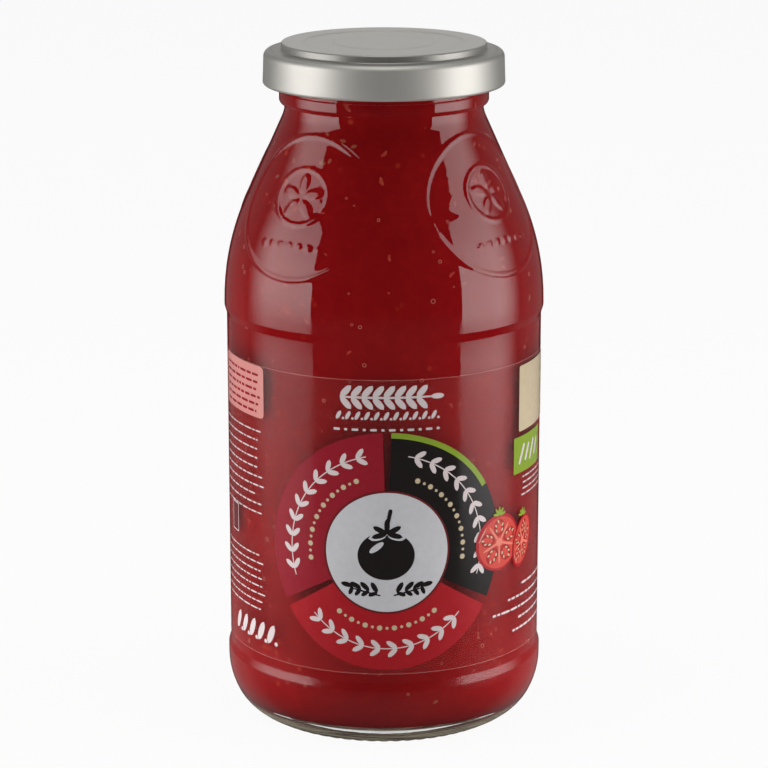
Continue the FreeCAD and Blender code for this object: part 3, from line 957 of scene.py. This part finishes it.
class JAR_OT_label(bpy.types.Operator):
    """Finishes the clear film and prints its generic badge, fields and rules"""

    bl_idname = "tomato_jar.label"
    bl_label = "Printed film"

    def execute(self, context):
        colours = context.scene.jar_colours
        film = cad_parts["label"]
        film.data.materials.clear()
        film.data.materials.append(film_finish())
        for name in JarColours.__annotations__:
            if name.startswith("ink_"):
                ink_finish(name, getattr(colours, name))
        PRINT.clear()
        cut_stamps()
        print_badge(context.scene.jar_sizes)
        print_title()
        print_tomato(29.8, 48.6, 7.3, 0.94, 0, 9)
        print_tomato(39.0, 46.8, 6.4, 0.60, 68, 17)
        print_sides(random.Random(3))
        deselect()
        for stamp in STAMPS.values():
            bpy.data.objects.remove(stamp)
        for shape in PRINT:
            shape.select_set(True)
        bpy.context.view_layer.objects.active = PRINT[0]
        bpy.ops.object.join()
        piece = bpy.context.view_layer.objects.active
        piece.name = "label_print"
        wrapped(piece)
        smooth(piece, 20)
        finish(piece, None)
        return {"FINISHED"}


# Stage


class JAR_OT_stage(bpy.types.Operator):
    """Sets the pale floor, the soft lamps, the world and the camera"""

    bl_idname = "tomato_jar.stage"
    bl_label = "Stage"

    def graded(self, lamp, full):
        """Lets a softbox fade towards its upper and its far edge, and downwards from the height full."""
        lamp.use_nodes = True
        tree = lamp.node_tree
        split = tree.nodes.new("ShaderNodeSeparateXYZ")
        place = tree.nodes.new("ShaderNodeNewGeometry").outputs["Position"]
        tree.links.new(place, split.inputs[0])
        far = Value(tree, split.outputs[1]).step(-0.06, 0.38)
        low = Value(tree, split.outputs[2]).step(-0.32, full)
        high = Value(tree, split.outputs[2]).step(0.15, 0.65)
        glow = next(node for node in tree.nodes if node.type == "EMISSION")
        connect(tree, low * (1 - 0.35 * high) * (1 - far), glow.inputs["Strength"])

    def execute(self, context):
        colours = context.scene.jar_colours
        deselect()
        bpy.ops.mesh.primitive_plane_add(size=6, location=(0, 0, 0))
        floor = bpy.context.object
        floor.name = "floor"
        f = Finish("pale_floor")
        seen = f.node("ShaderNodeLightPath", output="Is Camera Ray")
        through = Value(f.tree, seen.socket.node.outputs["Is Transmission Ray"])
        mirrored = Value(f.tree, seen.socket.node.outputs["Is Glossy Ray"])
        x, y, z = f.apart(f.place)
        near = 1 - (x * x + y * y).math("SQRT").step(60 * MM, 110 * MM)
        lit = f.node("ShaderNodeBsdfDiffuse", inputs={"Color": tuple(colours.floor)})
        pale = f.node("ShaderNodeBsdfDiffuse", inputs={"Color": (0.9, 0.9, 0.9)})
        glow = f.node("ShaderNodeEmission", inputs={"Color": (1, 1, 1), "Strength": 1.0})
        gone = f.node("ShaderNodeBsdfTransparent")
        white = f.mixed(pale, glow, 0.93)
        unseen = f.mixed(lit, f.mixed(gone, glow, 0.12 * near), mirrored)
        floor.data.materials.append(f.done(f.mixed(unseen, white, seen.math("MAXIMUM", through))))

        world = bpy.data.worlds.new("studio")
        world.use_nodes = True
        context.scene.world = world
        tree = world.node_tree
        tree.nodes.clear()
        path = tree.nodes.new("ShaderNodeLightPath")
        seen = Value(tree, path.outputs["Is Camera Ray"]).math("MAXIMUM", Value(tree, path.outputs["Is Transmission Ray"]))
        place = tree.nodes.new("ShaderNodeTexCoord")
        split = tree.nodes.new("ShaderNodeSeparateXYZ")
        tree.links.new(place.outputs["Generated"], split.inputs[0])
        x = Value(tree, split.outputs[0])
        y = Value(tree, split.outputs[1])
        behind = y / (x * x + y * y).math("SQRT")
        above = Value(tree, split.outputs[2]).step(0.0, 0.12)
        mirrored = Value(tree, path.outputs["Is Glossy Ray"])
        low = (0 - Value(tree, split.outputs[2])).step(0.05, 0.2) * (0 - y).step(0.2, 0.8)
        dim = 0.01 + 0.05 * low + 0.15 * behind.step(0.1, 0.6) * (1 - behind.step(0.90, 0.97) * (1 - above))
        dim = dim + 0.44 * behind.step(0.85, 0.97) * above
        plain = 0.24 - mirrored * (0.24 - dim)
        level = plain + seen * (0.96 - plain)
        background = tree.nodes.new("ShaderNodeBackground")
        background.inputs["Color"].default_value = (1, 1, 1, 1)
        connect(tree, level, background.inputs["Strength"])
        out = tree.nodes.new("ShaderNodeOutputWorld")
        tree.links.new(background.outputs[0], out.inputs[0])

        for name, place, aim, size, power in (
            ("left_softbox", (-0.85, -0.14, 0.1675), (0, -0.14, 0.1675), (1.04, 1.015), 11.0),
            ("right_softbox", (0.86, -0.093, 0.1675), (0, -0.093, 0.1675), (0.966, 1.015), 10.7),
            ("top_softbox", (0.0, -0.25, 1.3), (0, 0, 0.1), (0.9, 0.9), 4.5),
            ("left_fill", (-0.45, -0.06, 0.07), (0, 0, 0.07), (0.3, 0.12), 0.28),
            ("right_fill", (0.45, -0.06, 0.07), (0, 0, 0.07), (0.3, 0.12), 0.28),
            ("left_bounce", (-0.13, -0.03, 0.002), (-0.13, -0.03, 1), (0.14, 0.24), 0.18),
            ("right_bounce", (0.13, -0.03, 0.002), (0.13, -0.03, 1), (0.14, 0.24), 0.18),
            ("left_foot_bounce", (-0.057, -0.02, 0.001), (-0.057, -0.02, 1), (0.04, 0.10), 0.026),
            ("right_foot_bounce", (0.057, -0.02, 0.001), (0.057, -0.02, 1), (0.04, 0.10), 0.026),
        ):
            lamp = bpy.data.lights.new(name, "AREA")
            lamp.shape = "RECTANGLE"
            lamp.size, lamp.size_y = size
            lamp.energy = power
            holder = bpy.data.objects.new(name, lamp)
            holder.location = place
            holder.rotation_euler = (Vector(aim) - Vector(place)).to_track_quat("-Z", "Y").to_euler()
            holder.visible_camera = False
            if "softbox" not in name:
                holder.visible_glossy = False
                holder.visible_transmission = False
            if name == "left_softbox":
                self.graded(lamp, 0.12)
            elif name == "right_softbox":
                self.graded(lamp, 0.0)
            context.collection.objects.link(holder)

        camera = bpy.data.cameras.new("camera")
        camera.lens = 138.4
        holder = bpy.data.objects.new("camera", camera)
        holder.location = (0, -0.682, 0.2584)
        holder.rotation_euler = (Vector((0, 0, 0.0798)) - holder.location).to_track_quat("-Z", "Y").to_euler()
        context.collection.objects.link(holder)
        context.scene.camera = holder
        context.scene.view_settings.view_transform = "Standard"
        return {"FINISHED"}


class JAR_PT_panel(bpy.types.Panel):
    """Lists the steps and their sizes"""

    bl_idname = "JAR_PT_panel"
    bl_label = "Jar of tomato pulp"
    bl_space_type = "VIEW_3D"
    bl_region_type = "UI"
    bl_category = "Jar"

    def draw(self, context):
        for step in STEPS:
            self.layout.operator(step.bl_idname)
        for group in (context.scene.jar_sizes, context.scene.jar_colours):
            for name in group.__annotations__:
                self.layout.prop(group, name)


STEPS = (JAR_OT_stage, JAR_OT_glass, JAR_OT_pulp, JAR_OT_bits, JAR_OT_lid, JAR_OT_label)
CLASSES = (JarSizes, JarColours) + STEPS + (JAR_PT_panel,)


def register():
    for item in CLASSES:
        bpy.utils.register_class(item)
    bpy.types.Scene.jar_sizes = bpy.props.PointerProperty(type=JarSizes)
    bpy.types.Scene.jar_colours = bpy.props.PointerProperty(type=JarColours)


def unregister():
    del bpy.types.Scene.jar_colours
    del bpy.types.Scene.jar_sizes
    for item in reversed(CLASSES):
        bpy.utils.unregister_class(item)


def main():
    """Runs the steps in order."""
    register()
    for step in STEPS:
        area, name = step.bl_idname.split(".")
        getattr(getattr(bpy.ops, area), name)()


if __name__ == "__main__":
    main()
